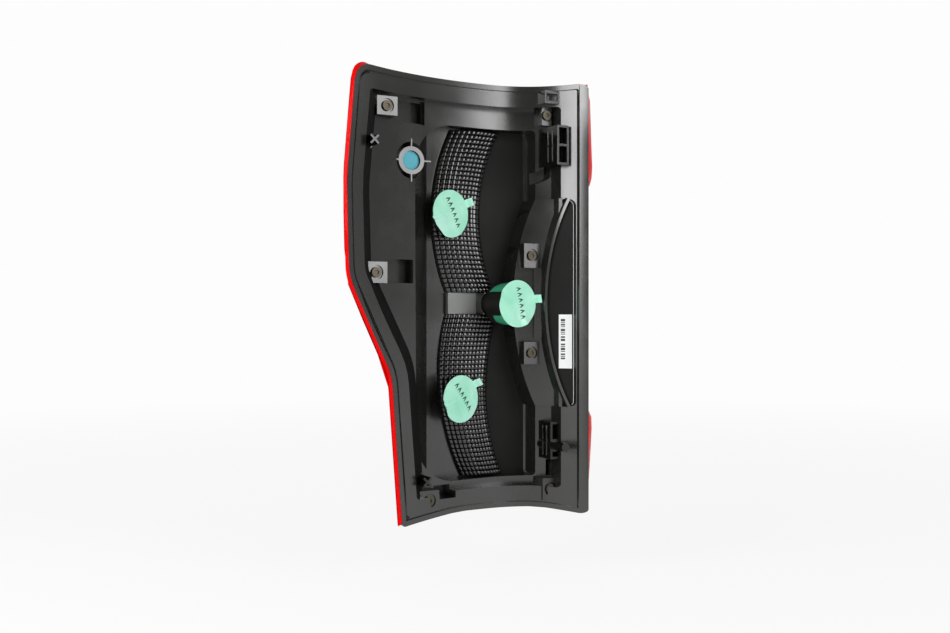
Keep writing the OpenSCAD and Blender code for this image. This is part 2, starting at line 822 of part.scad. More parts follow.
// A point of the lens's outer face, or of its inner one where w is the wall
function lens_point(i, row, w) =
    let (swollen = swell(foot_z + lamp_h * row[0] + row[1]),
        z_side = foot_z - 2 + (top_z - 1 - foot_z) * row[0] + row[1],
        seat_d = wall + 0.3,
        sx = lookup(z_side, side_table) - side_lip + w, rx = rear_reach + rear_lip - w,
        s = [sx, surf_y(sx, seat_d)], r = [rx, surf_y(rx, seat_d)],
        lean = s + 46 * [sin(side_lean), cos(side_lean)],
        crown = [window_side, lens_d - w],
        side = [s, lean, [lean.x * 0.62 - 4, lens_d - 1 - w], crown],
        rear = [crown, [58, lens_d + 1 - w],
            [rx + 15 + rear_swell * swollen, 17 - w - 1.9 * rear_swell * swollen], r],
        t = (i - side_cols) / rear_cols,
        p = i < side_cols ? bezier(side, i / side_cols) : bezier(rear, t),
        base_x = i < side_cols ? p.x : window_side + (rx - window_side) * (1 - pow(1 - t, 1.6)),
        base = [base_x, surf_y(base_x, seat_d)], q = base + (p - base) * row[2],
        low = lookup(q.x, foot_table) + 1 + w,
        z = low + (top_edge(q.x) - 1 - w - low) * row[0] + row[1])
    [q.x, q.y, z];

function in_window(i, j) =
    i >= side_cols && i < side_cols + rear_cols && j >= window_row && j < window_row + window_rows;

// The cells of the lens inside or outside the window, as one closed shell
module lens_piece(inside) {
    n = side_cols + rear_cols;
    m = len(lens_rows) - 1;
    points = [for (w = [0, lens_t]) for (row = lens_rows) for (i = [0:n]) lens_point(i, row, w)];
    function at(i, j, face) =
        let (jj = i > 0 && i < n ? j : min(max(j, 1), m - 1)) face * (m + 1) * (n + 1) + jj * (n + 1) + i;
    function ours(i, j) = i >= 0 && i < n && j >= 0 && j < m && in_window(i, j) == inside;
    function whole(f) = f[0] != f[1] && f[1] != f[2] && f[2] != f[0];
    function quad(a, b, c, d) = [for (f = [[a, b, c], [a, c, d]]) if (whole(f)) f];
    function edge(i, j, k, l) = at(i, j, 0) < at(k, l, 0)
        ? quad(at(i, j, 0), at(i, j, 1), at(k, l, 1), at(k, l, 0))
        : quad(at(i, j, 1), at(k, l, 1), at(k, l, 0), at(i, j, 0));
    polyhedron(points = points, faces = [for (j = [0:m - 1]) for (i = [0:n - 1]) if (ours(i, j)) each concat(
        quad(at(i, j, 0), at(i + 1, j, 0), at(i + 1, j + 1, 0), at(i, j + 1, 0)),
        quad(at(i, j, 1), at(i, j + 1, 1), at(i + 1, j + 1, 1), at(i + 1, j, 1)),
        ours(i, j - 1) ? [] : edge(i, j, i + 1, j),
        ours(i, j + 1) ? [] : edge(i + 1, j + 1, i, j + 1),
        ours(i - 1, j) ? [] : edge(i, j + 1, i, j),
        ours(i + 1, j) ? [] : edge(i + 1, j, i + 1, j + 1))]);
}

module red_lens() {
    color([0.85, 0.1, 0.1, 0.8]) lens_piece(false);
}

module clear_lens() {
    color([0.9, 0.9, 0.92, 0.5]) lens_piece(true);
}

// Corners of a line that runs in past the lens's wall, and d further
function seal_corners(d) = [for (c = inset(flange_corners, lens_t + 2 + d))
    [c.x > rear_reach / 2 + 20 ? rear_reach - 0.8 - d : c.x, c.y, c[2]]];

module lens_seal() {
    color([0.2, 0.2, 0.2]) difference() {
        layer(outline(seal_corners(0)), wall + 0.05, wall + 2);
        drawn(outline(seal_corners(seal_w)));
    }
}

module label() {
    color([0.95, 0.95, 0.95]) intersection() {
        translate([pod_rear - 5.5 - label_w / 2, -100, pod_z - 40 - label_h / 2])
            cube([label_w, 180, label_h]);
        difference() {
            under(step_d);
            under(step_d - label_t);
        }
    }
}

// The origin is where the lower peg leaves its bracket
module placed() {
    translate([-peg_x, -peg_face_y, -peg_z]) children();
}

placed() housing();
placed() red_lens();
placed() clear_lens();
placed() lens_seal();
placed() upper_reflector();
placed() lower_reflector();
placed() centre_reflector();
placed() upper_socket();
placed() centre_socket();
placed() lower_socket();
placed() upper_film();
placed() centre_film();
placed() lower_film();
placed() breather_patch();
placed() case_screws();
placed() upper_bracket();
placed() lower_bracket();
placed() upper_stud();
placed() lower_stud();
placed() corner_clip();
placed() label();
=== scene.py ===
"""A wrap-around rear lamp, seen from the vehicle's side before it is fitted.

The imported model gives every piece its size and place. This script gives the surfaces their finish, and
adds what is too fine for the model: rounded edges, cushion optics, creased films, thin trim and print.
"""
import json
import math

import bpy
from mathutils import Matrix, Vector, noise

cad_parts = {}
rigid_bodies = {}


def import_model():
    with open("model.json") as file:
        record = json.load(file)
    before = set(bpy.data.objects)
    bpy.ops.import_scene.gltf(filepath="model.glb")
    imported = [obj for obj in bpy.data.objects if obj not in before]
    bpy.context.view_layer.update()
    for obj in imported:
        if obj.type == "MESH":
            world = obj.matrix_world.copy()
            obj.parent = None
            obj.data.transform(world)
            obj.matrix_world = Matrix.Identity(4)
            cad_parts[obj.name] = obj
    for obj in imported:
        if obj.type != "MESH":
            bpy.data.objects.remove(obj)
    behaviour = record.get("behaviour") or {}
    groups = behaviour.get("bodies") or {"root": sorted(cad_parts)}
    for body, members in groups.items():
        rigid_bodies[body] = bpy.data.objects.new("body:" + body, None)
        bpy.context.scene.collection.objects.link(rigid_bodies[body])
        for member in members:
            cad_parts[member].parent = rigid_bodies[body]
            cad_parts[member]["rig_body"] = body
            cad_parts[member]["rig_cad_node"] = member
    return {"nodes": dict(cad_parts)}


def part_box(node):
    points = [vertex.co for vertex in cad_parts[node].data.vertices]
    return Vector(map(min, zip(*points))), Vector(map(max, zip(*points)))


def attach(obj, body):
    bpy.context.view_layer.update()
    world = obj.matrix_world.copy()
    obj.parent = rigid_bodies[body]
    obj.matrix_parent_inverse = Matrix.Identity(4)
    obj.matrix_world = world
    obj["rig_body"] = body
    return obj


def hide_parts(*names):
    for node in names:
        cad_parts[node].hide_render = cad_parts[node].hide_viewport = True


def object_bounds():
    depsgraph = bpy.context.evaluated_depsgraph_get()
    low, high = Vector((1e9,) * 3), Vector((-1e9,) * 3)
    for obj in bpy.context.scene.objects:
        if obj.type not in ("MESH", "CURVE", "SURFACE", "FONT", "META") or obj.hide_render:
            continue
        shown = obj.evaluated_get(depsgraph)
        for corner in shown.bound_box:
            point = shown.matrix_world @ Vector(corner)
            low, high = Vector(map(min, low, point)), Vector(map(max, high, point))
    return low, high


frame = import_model()
cad_low, cad_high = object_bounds()
nodes = frame["nodes"]
MM = 0.001
ROOT = "root"

# The crown of the flange's arch at mid-height, seen from the root of the lower peg
CROWN = Vector((-60, 24.918, 151)) * MM
# Radius of the flange's arch on its side part and on its rear part, in mm
SIDE_ARCH_R, REAR_ARCH_R = 325, 90


def spot(x, y, z):
    """A point in metres, from millimetres measured at the crown."""
    return CROWN + Vector((x, y, z)) * MM


def arch_y(x, depth):
    """Height in Y of a surface that lies at a depth below the flange's arch, in mm."""
    radius = SIDE_ARCH_R if x < 0 else REAR_ARCH_R
    return -radius + math.sqrt(max(0.0, (radius + depth) ** 2 - x * x))


def depth_at(x, y):
    """How far a place lies below the flange's arch, in mm."""
    radius = SIDE_ARCH_R if x < 0 else REAR_ARCH_R
    return math.hypot(y + radius, x) - radius


def between(table, at):
    """Reads a table of (place, value) pairs, with straight lines from one to the next."""
    for (a, low_value), (b, high_value) in zip(table, table[1:]):
        if at <= b:
            return low_value + (high_value - low_value) * max(0.0, (at - a) / (b - a))
    return table[-1][1]


def linear(code):
    """A linear colour from an sRGB hex value."""
    parts = [int(code[i:i + 2], 16) / 255 for i in (0, 2, 4)]
    return [c / 12.92 if c <= 0.04045 else ((c + 0.055) / 1.055) ** 2.4 for c in parts] + [1.0]


def add(tree, kind, sockets=(), **settings):
    """Adds a node with its settings, its socket values and its links."""
    made = tree.nodes.new("ShaderNode" + kind)
    for name, value in settings.items():
        setattr(made, name, value)
    for socket, value in dict(sockets).items():
        if isinstance(value, bpy.types.NodeSocket):
            tree.links.new(value, made.inputs[socket])
        else:
            made.inputs[socket].default_value = value
    return made


def blank(name):
    """A new material, its tree and its Principled shader."""
    made = bpy.data.materials.new(name)
    made.use_nodes = True
    shader = made.node_tree.nodes["Principled BSDF"]
    return made, made.node_tree, shader


def moulded(name, colour, roughness, grain, depth, spread=0.05, other=None, **sockets):
    """A moulded plastic, or a skin like one: its grain and the grain's depth, in mm, and broad patches where
    it is smoother or duller by the spread. The dull patches may turn towards another colour. A real tool's
    grain is about 0.05 mm wide, too fine to show, so it is drawn ten times as coarse or more."""
    made, tree, shader = blank(name)
    coords = add(tree, "TexCoord").outputs["Object"]
    skin = add(tree, "TexNoise", {"Vector": coords, "Scale": 1 / (grain * MM), "Detail": 3})
    patches = add(tree, "TexNoise", {"Vector": coords, "Scale": 1 / (35 * MM), "Detail": 2})
    rough = add(tree, "MapRange", {"Value": patches.outputs["Fac"], "From Min": 0.3, "From Max": 0.7,
                                   "To Min": roughness - spread, "To Max": roughness + spread})
    bump = add(tree, "Bump", {"Height": skin.outputs["Fac"], "Strength": 0.6, "Distance": depth * MM})
    tree.links.new(rough.outputs["Result"], shader.inputs["Roughness"])
    tree.links.new(bump.outputs["Normal"], shader.inputs["Normal"])
    shader.inputs["Base Color"].default_value = linear(colour)
    if other:
        shade = add(tree, "Mix", {0: rough.outputs["Result"], 6: linear(colour), 7: linear(other)},
                    data_type="RGBA")
        tree.links.new(shade.outputs[2], shader.inputs["Base Color"])
    for socket, value in sockets.items():
        shader.inputs[socket.replace("_", " ")].default_value = value
    return made


def polished(name, colour, transmission, level):
    """Injection-moulded acrylic with a polished skin, whose gloss changes a little along the melt's flow."""
    made, tree, shader = blank(name)
    coords = add(tree, "TexCoord").outputs["Object"]
    flow = add(tree, "TexNoise", {"Vector": coords, "Scale": 1 / (60 * MM), "Detail": 2})
    rough = add(tree, "MapRange", {"Value": flow.outputs["Fac"], "To Min": 0.03, "To Max": 0.09})
    tree.links.new(rough.outputs["Result"], shader.inputs["Roughness"])
    shader.inputs["Base Color"].default_value = linear(colour)
    shader.inputs["IOR"].default_value = 1.49
    shader.inputs["Transmission Weight"].default_value = transmission
    shader.inputs["Specular IOR Level"].default_value = level
    return made


# Carbon-black ABS from a fine-grained tool: deep grey with a broad satin sheen
housing_abs = moulded("moulded_abs_black", "1c1c1a", 0.25, 0.8, 0.01, IOR=1.55, Specular_IOR_Level=0.8)
# The same ABS from spark-eroded tool faces, with almost no sheen. Its darker colour is painted shade, laid on
# the chamber's deep floor, the panel behind the pod's step and the tray's side wall
shaded_matt_abs = moulded("spark_eroded_abs_painted_shade", "131312", 0.6, 0.8, 0.03, IOR=1.55, Specular_IOR_Level=0.15)
# Gloss polycarbonate of the reflector optics: near black, and each cushion mirrors a lamp as one small dot
optic_pc = moulded("polished_pc_black", "121210", 0.16, 3.0, 0.005, IOR=1.585, Specular_IOR_Level=0.7)
# Grey polycarbonate of the plate between the optics: satin, so it shines as one soft field
plate_pc = moulded("satin_pc_grey", "6e706d", 0.35, 1.0, 0.02)
# Heat-proof PBT of the socket collars: dull black
socket_pbt = moulded("moulded_pbt_black", "161616", 0.45, 0.9, 0.03)
# Nylon of the brackets and studs: wet-looking black with a hard shine
bracket_nylon = moulded("gloss_nylon_black", "0e0e0d", 0.18, 2.5, 0.03, IOR=1.53)
# Butyl bead that seals the lens: black and quite matt
butyl = moulded("butyl_black", "121212", 0.6, 2.0, 0.1)
# Zinc-plated steel of the case screws: gone dull and brown
zinc = moulded("dull_zinc_plate", "4c473c", 0.42, 0.6, 0.02, Metallic=0.85)
# Pored fluoropolymer of the breather: pale blue and quite matt
membrane = moulded("pored_membrane_blue", "5fb9cb", 0.7, 0.5, 0.02)
# Polyester film: pale mint, greener where it is dull
film_pet = moulded("mint_polyester_film", "c4fae6", 0.35, 4.0, 0.02, 0.3, other="7fe3b8")
# The same film where it is folded down round a collar: deep green, because it is in the shade
film_fold = moulded("folded_green_film", "3fa67b", 0.35, 4.0, 0.05)
# Screen ink on the film: dark green with the film's own sheen
film_ink = moulded("green_ink", "0c4638", 0.4, 2.0, 0.01)
# Coated paper of the label: bright and even
paper = moulded("coated_paper_white", "f2f2f2", 0.5, 1.0, 0.01)
# Thermal print on the label: a dark grey, never a full black
print_ink = moulded("black_print_ink", "3a3a3a", 0.5, 1.0, 0.01)
# Red acrylic, even all over, near opaque and with almost no reflection. Its bright red is a painted glow, which
# stands in for the light that runs through it and comes out at its edge
lens_red = polished("polished_acrylic_red_painted_glow", "da0a0b", 0.02, 0.02)
# Clear acrylic: it shows the grey of the housing behind it
lens_clear = polished("polished_acrylic_clear", "f4f6f6", 0.9, 0.5)


def only(obj):
    """Leaves just this object selected and active."""
    bpy.ops.object.select_all(action="DESELECT")
    obj.select_set(True)
    bpy.context.view_layer.objects.active = obj


def finish_piece(obj, material, slot, *replaced):
    """Gives a piece its material and its body, and hides the nodes that it stands for. The slot is not used."""
    obj.data.materials.clear()
    obj.data.materials.append(material)
    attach(obj, ROOT)
    if replaced:
        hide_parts(*replaced)
    return obj


def rounded_copy(node, name, material, slot, width, sharp=32, flat=0.5):
    """A merged copy of a CAD node with its edges rounded to width, in mm. Edges turn sharp at the first
    angle, and faces that lie within the second are made one."""
    copy = nodes[node].copy()
    copy.data = nodes[node].data.copy()
    bpy.context.scene.collection.objects.link(copy)
    copy.parent = None
    copy.name = name
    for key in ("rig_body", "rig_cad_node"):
        del copy[key]
    only(copy)
    bpy.ops.mesh.customdata_custom_splitnormals_clear()
    bpy.ops.object.mode_set(mode="EDIT")
    bpy.ops.mesh.select_all(action="SELECT")
    bpy.ops.mesh.remove_doubles(threshold=0.002 * MM)
    bpy.ops.mesh.dissolve_limited(angle_limit=math.radians(flat))
    bpy.ops.object.mode_set(mode="OBJECT")
    if width:
        bevel = copy.modifiers.new("edges", "BEVEL")
        bevel.limit_method = "ANGLE"
        bevel.angle_limit = math.radians(sharp)
        bevel.width = width * MM
        bevel.segments = 2
        bevel.use_clamp_overlap = True
        bpy.ops.object.modifier_apply(modifier=bevel.name)
    bpy.ops.object.shade_smooth_by_angle(angle=math.radians(sharp))
    if width:
        level = copy.modifiers.new("flat faces", "WEIGHTED_NORMAL")
        level.keep_sharp = True
        bpy.ops.object.modifier_apply(modifier=level.name)
    return finish_piece(copy, material, slot, node)


housing = rounded_copy("housing", "housing_moulding", housing_abs, "housing_black", 0.5)
rounded_copy("red_lens", "red_lens_skin", lens_red, "lens_red", 0, sharp=50, flat=0.01)
rounded_copy("clear_lens", "clear_lens_skin", lens_clear, "lens_clear", 0, sharp=50, flat=0.01)
rounded_copy("lens_seal", "lens_glue_bead", butyl, "seal", 0.5)
rounded_copy("centre_reflector", "centre_plate", plate_pc, "reflector_grey", 0.6)
rounded_copy("upper_socket", "upper_collar", socket_pbt, "socket_black", 0.4)
rounded_copy("centre_socket", "centre_collar", socket_pbt, "socket_black", 0.4)
rounded_copy("lower_socket", "lower_collar", socket_pbt, "socket_black", 0.4)
rounded_copy("breather_patch", "breather_membrane", membrane, "patch_blue", 0.2)
rounded_copy("case_screws", "case_screw_set", zinc, "screw_steel", 0.25)
rounded_copy("upper_bracket", "upper_bracket_moulding", bracket_nylon, "bracket_black", 0.8)
rounded_copy("lower_bracket", "lower_bracket_moulding", bracket_nylon, "bracket_black", 0.8)
rounded_copy("upper_stud", "upper_stud_moulding", bracket_nylon, "stud_black", 0.3)
rounded_copy("lower_stud", "lower_stud_moulding", bracket_nylon, "stud_black", 0.3)
rounded_copy("corner_clip", "corner_clip_moulding", bracket_nylon, "bracket_black", 0.6)
rounded_copy("label", "paper_label", paper, "label_white", 0)


def is_shaded_matt(x, z, depth):
    """Whether a place on the housing gets the spark-eroded finish with its painted shade: the panel behind the
    pod's step, and the chamber's floor beside the optics."""
    bow_x, bow_z, bow_r = 391, -5, 335
    past_step = x > bow_x - math.sqrt(bow_r ** 2 - (z - bow_z) ** 2)
    on_panel = 57 < x < 75.5 and -110 < z < 101 and 2 < depth < 4 and past_step
    on_chamber_floor = -20 < x < 50 and depth > 24
    return on_panel or on_chamber_floor


# The chamber's deep floor and the panel behind the pod's step get the matt finish with painted shade
housing.data.materials.append(shaded_matt_abs)
for face in housing.data.polygons:
    middle = (face.center - CROWN) / MM
    face.material_index = int(is_shaded_matt(middle.x, middle.z, depth_at(middle.x, middle.y)))


def sheet(cols, rows, place):
    """A grid of cells whose points are laid out by place, in metres, from shares of its width and height."""
    bpy.ops.object.select_all(action="DESELECT")
    bpy.ops.mesh.primitive_grid_add(x_subdivisions=cols, y_subdivisions=rows, size=1)
    made = bpy.context.object
    for point in made.data.vertices:
        point.co = place(point.co.x + 0.5, point.co.y + 0.5)
    return made


def one_piece(name, sheets, thickness, material, slot, *replaced, smooth=60):
    """Joins sheets into one named piece and gives them a wall, in mm, below their outer skin."""
    only(sheets[0])
    for other in sheets[1:]:
        other.select_set(True)
    if len(sheets) > 1:
        bpy.ops.object.join()
    made = bpy.context.object
    made.name = name
    if thickness:
        wall = made.modifiers.new("wall", "SOLIDIFY")
        wall.thickness = thickness * MM
        bpy.ops.object.modifier_apply(modifier=wall.name)
    bpy.ops.object.shade_smooth_by_angle(angle=math.radians(smooth))
    return finish_piece(made, material, slot, *replaced)


# The mouth of each bulb socket, as x, depth, z and turn, in mm and degrees
UPPER_MOUTH = (-36, 15, 84, 16)
LOWER_MOUTH = (-24, 15, -103, 16)
CENTRE_MOUTH = (24.3, -7, -6.5, 10)


def mouth_frame(mouth):
    """From a mouth's own frame, in mm (across, up, out to the vehicle), to the row's, in metres."""
    x, depth, z, turn = mouth
    return (Matrix.Translation(spot(x, arch_y(x, depth), z)) @ Matrix.Rotation(math.radians(turn), 4, "Z")
            @ Matrix.Rotation(math.radians(90), 4, "X") @ Matrix.Scale(MM, 4))


def from_collar(point, mouth):
    """The way from the axis of a collar to a point, in mm, square to that axis."""
    x, depth, z, turn = mouth
    a = math.radians(turn)
    inward = Vector((-math.sin(a), math.cos(a), 0))
    out = point - Vector((x, arch_y(x, depth), z))
    return out - inward * out.dot(inward)


# A cushion's width and height, and how far the grooves between cushions are sunk, in mm
CUSHION_W, CUSHION_H, GROOVE = 5.2, 4.8, 1.2
# Where the points of a cushion lie, from the groove's bottom at -1 over its shoulders to the next groove
SHOULDER = 0.74
CUSHION_STOPS = (-1, -SHOULDER, -0.36, 0, 0.36, SHOULDER)
# How a strip bulges: the depth of its edges, and how far its middle stands above them, in mm
STRIP_EDGE_D, STRIP_RISE = 29.8, 9
# Radius of the hole that a strip leaves for a collar, in mm
COLLAR_HOLE_R = 13.8
# How steep a cushion may lean against the strip
MAX_LEAN = 0.42
# The slope that the cushions have in the end, from the strip's side edge at -1 to its rear edge at 1
COLUMN_SLOPES = [(-1, -0.5), (-0.6, -0.38), (-0.2, -0.28), (0, -0.22), (0.1, -0.12), (0.2, -0.05), (0.8, -0.03),
                 (0.9, 0.25), (1, 0.5)]
# How much of their height in Z the columns keep. The side ones are flatter and light up as upright bars
COLUMN_CROWNS = [(-1, 0.3), (-0.4, 0.45), (-0.1, 1), (1, 1)]


def cushion_strip(name, node, strip, mouths):
    """A bowed strip of cushion optics, one grid for all of it. Each column leans its own way, so that they
    light up in bands, and the cushions beside the strip's socket are flatter and so light up in long bars.
    The strip is its foot, its top, the x and z of its bow's middle, the bow's radius, and its width at the
    foot and at the top."""
    foot, top, mid_x, mid_z, bow, foot_w, top_w = strip
    cols, rows = round(top_w / CUSHION_W), round((top - foot) / CUSHION_H)
    stops = len(CUSHION_STOPS)

    def on_strip(u, z):
        # The strip widens from its foot up to three quarters of its height
        width = foot_w + (top_w - foot_w) * min(1, (z - foot) / (0.75 * (top - foot)))
        x = mid_x + bow - math.sqrt(bow * bow - (z - mid_z) ** 2) + u * width / 2
        return Vector((x, arch_y(x, STRIP_EDGE_D - STRIP_RISE * (1 - u * u)), z)), width

    def cell(share, count):
        step = min(round(share * count * stops), count * stops)
        if step == count * stops:
            return count - 1, 1
        return step // stops, CUSHION_STOPS[step % stops]

    def place(across, up):
        (col, a), (row, b) = cell(across, cols), cell(up, rows)
        middle, high = -1 + (2 * col + 1) / cols, foot + (top - foot) * (row + 0.5) / rows
        point, width = on_strip(middle + a / cols, high + b * (top - foot) / rows / 2)
        slope = (on_strip(middle + 0.02, high)[0].y - on_strip(middle - 0.02, high)[0].y) / (0.02 * width)
        lean = max(-MAX_LEAN, min(MAX_LEAN, slope - between(COLUMN_SLOPES, middle)))
        crown_across = 0.26 - 0.2 * min(0, middle)
        crown_up = 0.4 - 0.32 * math.exp(-((high - mouths[0][2]) / 24) ** 2)
        crown_up *= between(COLUMN_CROWNS, middle)
        rise = 0.35 + crown_across * (1 - (a / SHOULDER) ** 2) + crown_up * (1 - (b / SHOULDER) ** 2)
        if abs(a) == 1 or abs(b) == 1:
            rise = -GROOVE
        point.y -= rise + lean * a * width / cols / 2
        # A point just inside a collar's hole moves out to its rim, and those further in are deleted below
        for mouth in mouths:
            out = from_collar(point, mouth)
            if 12 < out.length < COLLAR_HOLE_R:
                point += out.normalized() * (COLLAR_HOLE_R - out.length)
        return spot(*point)

    made = sheet(cols * stops, rows * stops, place)
    only(made)
    bpy.ops.object.mode_set(mode="EDIT")
    bpy.ops.mesh.select_mode(type="VERT")
    bpy.ops.mesh.select_all(action="DESELECT")
    bpy.ops.object.mode_set(mode="OBJECT")
    for point in made.data.vertices:
        at = (point.co - CROWN) / MM
        point.select = any(from_collar(at, mouth).length < COLLAR_HOLE_R - 0.1 for mouth in mouths)
    bpy.ops.object.mode_set(mode="EDIT")
    bpy.ops.mesh.delete(type="VERT")
    bpy.ops.object.mode_set(mode="OBJECT")
    return one_piece(name, [made], 0.8, optic_pc, "reflector_black", node, smooth=50)


cushion_strip("upper_optic", "upper_reflector", (5, 172, -26.3, 83, 188, 57, 57), (UPPER_MOUTH, CENTRE_MOUTH))
cushion_strip("lower_optic", "lower_reflector", (-183, -17, -18, -84, 240, 47, 60), (LOWER_MOUTH, CENTRE_MOUTH))


# Radius and wall of a film, and the radius of the skirt that it is folded down round, in mm
FILM_R, FILM_T, SKIRT_R = 24, 0.2, 21.5
# A pull tab's lap on the film, its length with that lap, half its width, and how soon it has bent up, in mm
TAB_LAP, TAB_LENGTH, TAB_HALF, TAB_BEND = 1.5, 9.2, 4.2, 4
# The arrow marks: their count, pitch, half width, height and stroke, in mm
MARKS, MARK_PITCH, MARK_HALF, MARK_HEIGHT, MARK_STROKE = 6, 5.8, 1.75, 4.0, 3.0
# How thick print is laid on, and how far it stands off a film's skin, in mm
PRINT_T, PRINT_LIFT = 0.05, 0.12


def film_height(u, v, creases):
    """How far a film stands off its plate at (u, v), in mm: small waves and the given creases. A crease is
    the angle it runs at, how far from the middle it starts, its half width, and how high it ends."""
    height = 0.7 + 0.3 * noise.noise(Vector((u, v, 3)) / 9) + 0.1 * noise.noise(Vector((u, v, 7)) / 4)
    for angle, start, width, high in creases:
        a = math.radians(angle)
        along, across = u * math.cos(a) + v * math.sin(a), -u * math.sin(a) + v * math.cos(a)
        if along > start:
            height += high * (along - start) / (FILM_R - start) * max(0.0, 1 - abs(across) / width)
    return height


def peel_film(name, node, mouth, shift, tab_at, lift, creases, cut=(0, FILM_R)):
    """A creased disc of film with a lifted pull tab, and a row of arrow marks that point to the tab. The cut
    takes a straight edge off the disc, at an angle and a way from the middle."""
    frame_of = mouth_frame(mouth) @ Matrix.Translation((-shift, 0, 0))
    tab_turn = Matrix.Rotation(math.radians(tab_at), 4, "Z")
    cut_at, cut_reach = math.radians(cut[0]), cut[1]
    cut_way = Vector((math.cos(cut_at), math.sin(cut_at), 0))

    def on_film(flat, lift_off=0.0):
        return frame_of @ (flat + Vector((0, 0, film_height(flat.x, flat.y, creases) + lift_off)))

    def on_disc(u, v):
        a, b = 2 * u - 1, 2 * v - 1
        flat = Vector((a * math.sqrt(1 - b * b / 2), b * math.sqrt(1 - a * a / 2), 0)) * FILM_R
        return on_film(flat - cut_way * max(0.0, flat.dot(cut_way) - cut_reach))

    def on_tab(u, v):
        along, across = FILM_R - TAB_LAP + TAB_LENGTH * u, TAB_HALF * (1 - 2 * v)
        past = max(0.0, along - FILM_R)
        bend = math.radians(lift) * min(1, past / TAB_BEND)
        flat = tab_turn @ Vector((min(along, FILM_R), -across, 0))
        return on_film(flat, 0.06) + (frame_of @ tab_turn).to_3x3() @ Vector(
            (past * math.cos(bend), 0, past * math.sin(bend)))

    def mark(k):
        def on_mark(u, v):
            t = 2 * u - 1
            tip = 6.5 - MARK_HEIGHT * abs(t) + MARK_STROKE * (v - 0.5) - 0.1 * k * k
            return on_film(tab_turn @ Vector((tip, MARK_PITCH * k + MARK_HALF * t, 0)), PRINT_LIFT)
        return sheet(6, 1, on_mark)

    one_piece(name, [sheet(48, 48, on_disc), sheet(10, 4, on_tab)], FILM_T, film_pet, "film_mint", node)
    row = [mark(k - (MARKS - 1) / 2) for k in range(MARKS)]
    one_piece(name + "_marks", row, PRINT_T, film_ink, "film_mint")


peel_film("upper_peel_film", "upper_film", UPPER_MOUTH, 5, 28, 45,
          [(205, 0, 13, 1.9), (192, -2, 2.4, -1.7)], cut=(230, 22.3))
peel_film("centre_peel_film", "centre_film", CENTRE_MOUTH, 0, 12, 74, [(165, 8, 7, 1.4), (300, 12, 6, 1.6)])
peel_film("lower_peel_film", "lower_film", LOWER_MOUTH, 5, 36, 45,
          [(205, 4, 13, 1.6), (192, 6, 2.4, -1.5)], cut=(200, 22.3))


def folded_film(name, mouth, pieces):
    """Film that is folded down round a skirt. A piece is its two ends in degrees, and how far it reaches down
    at its first end, its middle and its last end, in mm."""
    frame_of = mouth_frame(mouth)
    sheets = []
    for start, end, first, middle, last in pieces:
        def on_skirt(u, v):
            a = math.radians(start + (end - start) * u)
            down = (1 - v) * between([(0, first), (0.5, middle), (1, last)], u)
            r = SKIRT_R + 0.45 + 0.3 * noise.noise(Vector((20 * u, down / 3, start)))
            return frame_of @ Vector((r * math.cos(a), r * math.sin(a), 0.4 - down))
        sheets.append(sheet(14, 6, on_skirt))
    one_piece(name, sheets, FILM_T, film_fold, "film_mint")


folded_film("centre_film_folds", CENTRE_MOUTH, [(96, 146, 10, 19, 23), (214, 262, 17, 20, 12)])
folded_film("lower_film_folds", LOWER_MOUTH, [(120, 165, 2, 4, 6), (195, 268, 6, 8, 3)])


# The flange's corners at the side, each as x, z and radius, from the top to the foot, in mm
SIDE_CORNERS = [(-166, 213, 20), (-178, 105, 150), (-175, 17, 45), (-121, -75, 50), (-108, -221, 4)]
# The ways in which the top and the foot edge run on from the first and the last of them
TOP_WAY, FOOT_WAY = Vector((60, 0.7)), Vector((60, 6.6))
# The steps in which each corner is rounded
CORNER_STEPS = 8


def side_path(inset):
    """The flange's edge along the side, moved in by inset, as x and z in mm."""
    corners = [Vector(c[:2]) for c in SIDE_CORNERS]
    corners = [corners[0] + TOP_WAY] + corners + [corners[-1] + FOOT_WAY]
    path = []
    for k, (_, _, radius) in enumerate(SIDE_CORNERS):
        a, b, c = corners[k:k + 3]
        first, second = (b - a).normalized(), (c - b).normalized()
        left, right = Vector((-first.y, first.x)), Vector((-second.y, second.x))
        middle = b + (left + right) * inset / (1 + left.dot(right))
        bend = math.atan2(first.x * second.y - first.y * second.x, first.dot(second))
        r = max(3.0, radius - math.copysign(inset, bend))
        reach = r * math.tan(abs(bend) / 2)
        start, centre = middle - first * reach, middle + left * math.copysign(r, bend) - first * reach
        for i in range(CORNER_STEPS + 1):
            path.append(centre + Matrix.Rotation(bend * i / CORNER_STEPS, 2) @ (start - centre))
    return path


def side_band(name, near, near_depth, far, far_depth, material, slot, left_off=0):
    """A band along the side of the flange, from one inset and depth to another, in mm. The points that are
    left off are at the foot's corner."""
    edge, other = (side_path(inset)[:-left_off or None] for inset in (near, far))

    def on_band(u, v):
        at = round(u * (len(edge) - 1))
        flat = other[at].lerp(edge[at], v)
        return spot(flat.x, arch_y(flat.x, far_depth + (near_depth - far_depth) * v), flat.y)

    one_piece(name, [sheet(len(edge) - 1, 1, on_band)], 0.1, material, slot, smooth=30)


# The steep matt wall between the flange and the tray's floor, darker by painted shade
side_band("tray_side_wall", 21, 0.4, 37, 13.8, shaded_matt_abs, "housing_black")
# The slope from the bead down to the flange
side_band("bead_fillet", 5, -2.0, 7.9, -0.05, housing_abs, "housing_black")
# The lens's edge outside the bead, bright with the red acrylic's painted glow where the light in it comes out
side_band("lens_rim", -2.2, 2.6, 0.1, -0.9, lens_red, "lens_red", left_off=CORNER_STEPS)


# A bracket rib's radius, how far its axis stands inside the bracket's face, and how its ends are rounded, in mm
RIB_R, RIB_SUNK, RIB_ROUND = 1.1, 0.2, 0.8
# How far the uprights stop short of the bracket's ends, and the cross rib runs past the uprights, in mm
RIB_SHORT, RIB_PAST = 3.5, 2.5


